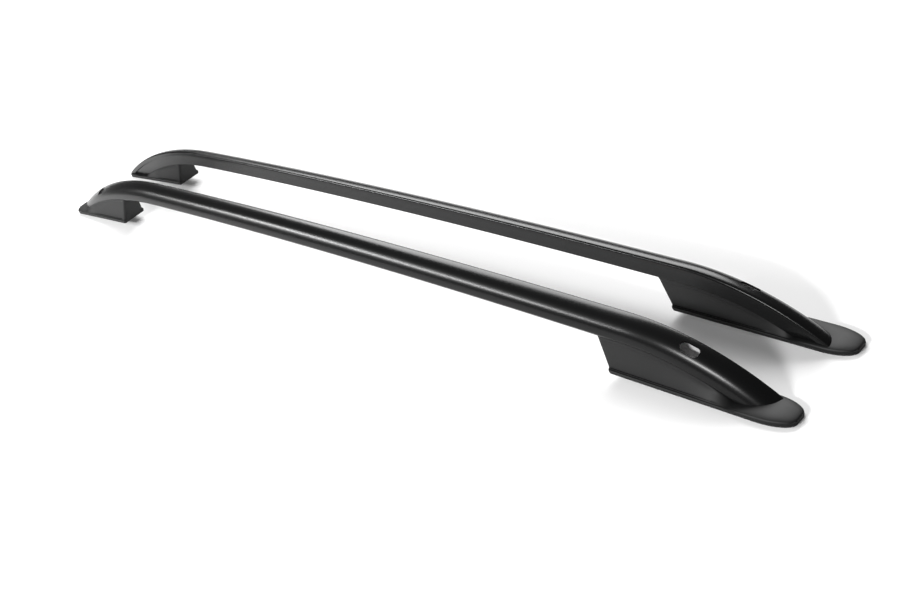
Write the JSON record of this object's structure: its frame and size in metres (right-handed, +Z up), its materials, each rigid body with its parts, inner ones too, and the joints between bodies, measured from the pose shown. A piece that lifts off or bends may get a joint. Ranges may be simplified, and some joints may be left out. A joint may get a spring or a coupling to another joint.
{
  "type": "roof side rail pair",
  "caption": "Mirror-image pair of low roof side rails: slim hollow arched bars on short rear feet and long tapered front feet, with rubber gaskets and roof bolt sleeves.",
  "frame": {"origin": "on the ground plane, below the middle of the pair", "axes": "+X forward along the rails, +Y to the left across the pair, +Z up"},
  "size_m": [1.8626, 0.2096, 0.1114],
  "materials": {
    "bar": "satin black anodised",
    "foot": "fine textured black moulding",
    "gasket": "matt black rubber",
    "sleeve": "zinc plated",
    "screw": "plain steel"
  },
  "bodies": {
    "root": {"right_bar": "bar", "right_front_foot": "foot", "right_rear_foot": "foot", "right_front_gasket": "gasket", "right_rear_gasket": "gasket", "right_front_bolt_sleeve": "sleeve", "right_rear_bolt_sleeve": "sleeve", "right_front_foot_screws": "screw", "right_rear_foot_screws": "screw", "left_bar": "bar", "left_front_foot": "foot", "left_rear_foot": "foot", "left_front_gasket": "gasket", "left_rear_gasket": "gasket", "left_front_bolt_sleeve": "sleeve", "left_rear_bolt_sleeve": "sleeve", "left_front_foot_screws": "screw", "left_rear_foot_screws": "screw"}
  },
  "joints": []
}
